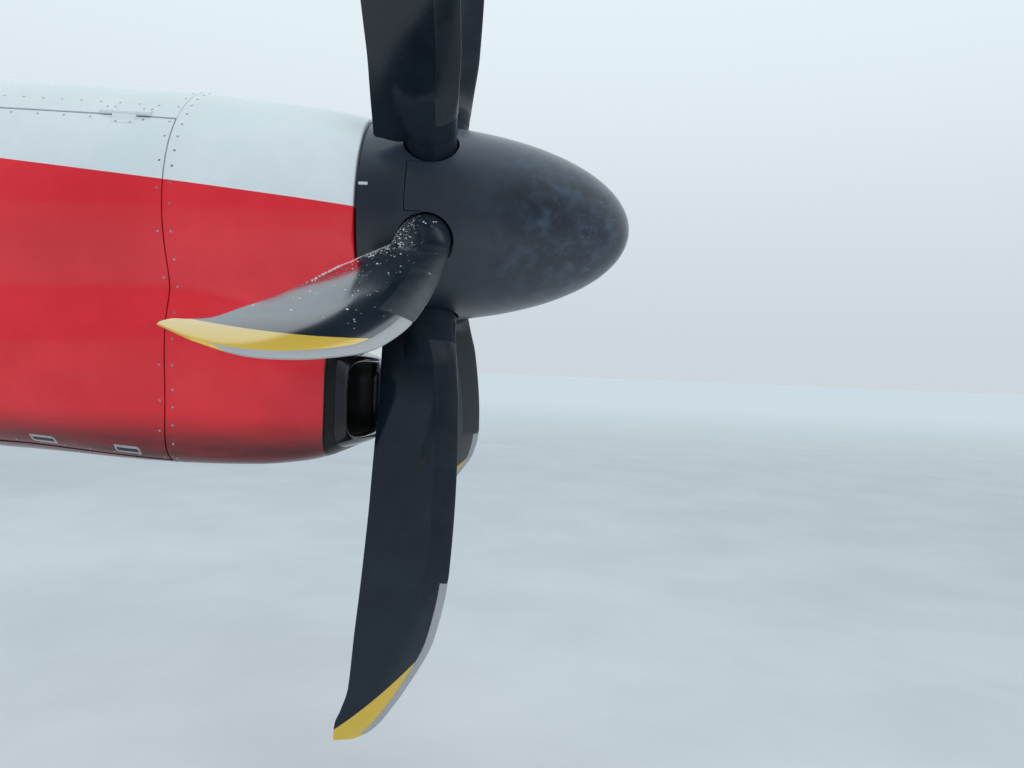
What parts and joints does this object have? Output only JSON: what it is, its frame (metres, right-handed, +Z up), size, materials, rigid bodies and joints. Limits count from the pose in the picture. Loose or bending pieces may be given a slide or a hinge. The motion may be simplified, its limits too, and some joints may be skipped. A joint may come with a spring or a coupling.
{
  "type": "turboprop engine nacelle with propeller",
  "caption": "Forward nacelle of a turboprop engine with a chin air intake, opening cowl doors and a feathered multi-blade propeller behind a pointed spinner.",
  "frame": {"origin": "on the flat aft face of the firewall, where the propeller shaft's line meets it", "axes": "+X forward along the propeller shaft, +Y to the left of the aircraft (outboard here), +Z up"},
  "size_m": [3.551, 3.9806, 3.9962],
  "materials": {
    "paint": "gloss red below, white above",
    "primer": "matt green primer",
    "rubber": "black de-icing rubber, smooth",
    "duct": "dark moulded composite",
    "casing": "grey cast and machined casings",
    "steel": "brushed steel",
    "spinner": "satin charcoal",
    "hub": "machined",
    "sheath": "worn metal leading-edge sheath",
    "blade": "satin near-black composite, yellow tip"
  },
  "bodies": {
    "nacelle": {"nose_cowl": "paint", "intake_lip_top": "rubber", "intake_lip_left": "rubber", "intake_lip_bottom": "rubber", "intake_lip_right": "rubber", "chin_collar": "rubber", "intake_duct_top": "duct", "intake_duct_left": "duct", "intake_duct_bottom": "duct", "intake_duct_right": "duct", "intake_duct_end": "duct", "upper_cowl": "paint", "lower_cowl": "paint", "firewall": "primer", "inner_frame": "primer", "engine_block": "casing", "exhaust_pipe": "steel", "engine_mount_left": "steel", "engine_mount_right": "steel", "attach_fitting_1": "steel", "attach_fitting_2": "steel", "attach_fitting_3": "steel", "attach_fitting_4": "steel"},
    "door_left": {"cowl_door_left": "paint"},
    "door_right": {"cowl_door_right": "paint"},
    "propeller": {"spinner_shell": "spinner", "spinner_ring": "spinner", "propeller_hub": "hub"},
    "propeller_blade_1": {"blade_1": "blade", "blade_1_boot": "rubber", "blade_1_sheath": "sheath"},
    "propeller_blade_2": {"blade_2": "blade", "blade_2_boot": "rubber", "blade_2_sheath": "sheath"},
    "propeller_blade_3": {"blade_3": "blade", "blade_3_boot": "rubber", "blade_3_sheath": "sheath"},
    "propeller_blade_4": {"blade_4": "blade", "blade_4_boot": "rubber", "blade_4_sheath": "sheath"},
    "propeller_blade_5": {"blade_5": "blade", "blade_5_boot": "rubber", "blade_5_sheath": "sheath"},
    "propeller_blade_6": {"blade_6": "blade", "blade_6_boot": "rubber", "blade_6_sheath": "sheath"}
  },
  "joints": [
    {"name": "propeller_spin", "type": "hinge", "parent": "nacelle", "child": "propeller", "pos_m": [2.7, 0, 0], "axis": [1, 0, 0], "continuous": true},
    {"name": "blade_1_pitch", "type": "hinge", "parent": "propeller", "child": "propeller_blade_1", "pos_m": [2.7, -0.22434, 0.19918], "axis": [0, -0.7478, 0.6639], "range_deg": [-100, 0]},
    {"name": "blade_2_pitch", "type": "hinge", "parent": "propeller", "child": "propeller_blade_2", "pos_m": [2.7, -0.28466, -0.0947], "axis": [0, -0.9489, -0.3156], "range_deg": [-100, 0]},
    {"name": "blade_3_pitch", "type": "hinge", "parent": "propeller", "child": "propeller_blade_3", "pos_m": [2.7, -0.06032, -0.29387], "axis": [0, -0.2011, -0.9796], "range_deg": [-100, 0]},
    {"name": "blade_4_pitch", "type": "hinge", "parent": "propeller", "child": "propeller_blade_4", "pos_m": [2.7, 0.22434, -0.19918], "axis": [0, 0.7478, -0.6639], "range_deg": [-100, 0]},
    {"name": "blade_5_pitch", "type": "hinge", "parent": "propeller", "child": "propeller_blade_5", "pos_m": [2.7, 0.28466, 0.0947], "axis": [0, 0.9489, 0.3156], "range_deg": [-100, 0]},
    {"name": "blade_6_pitch", "type": "hinge", "parent": "propeller", "child": "propeller_blade_6", "pos_m": [2.7, 0.06032, 0.29387], "axis": [0, 0.2011, 0.9796], "range_deg": [-100, 0]},
    {"name": "door_left_hinge", "type": "hinge", "parent": "nacelle", "child": "door_left", "pos_m": [1.74, 0.41919, 0.30938], "axis": [0.9996, -0.024, -0.0177], "range_deg": [0, 75]},
    {"name": "door_right_hinge", "type": "hinge", "parent": "nacelle", "child": "door_right", "pos_m": [1.74, -0.41919, 0.30938], "axis": [-0.9996, -0.024, 0.0177], "range_deg": [0, 75]}
  ],
  "couplings": [
    {"joint": "blade_2_pitch", "follows": "blade_1_pitch", "ratio": 1},
    {"joint": "blade_3_pitch", "follows": "blade_1_pitch", "ratio": 1},
    {"joint": "blade_4_pitch", "follows": "blade_1_pitch", "ratio": 1},
    {"joint": "blade_5_pitch", "follows": "blade_1_pitch", "ratio": 1},
    {"joint": "blade_6_pitch", "follows": "blade_1_pitch", "ratio": 1}
  ]
}
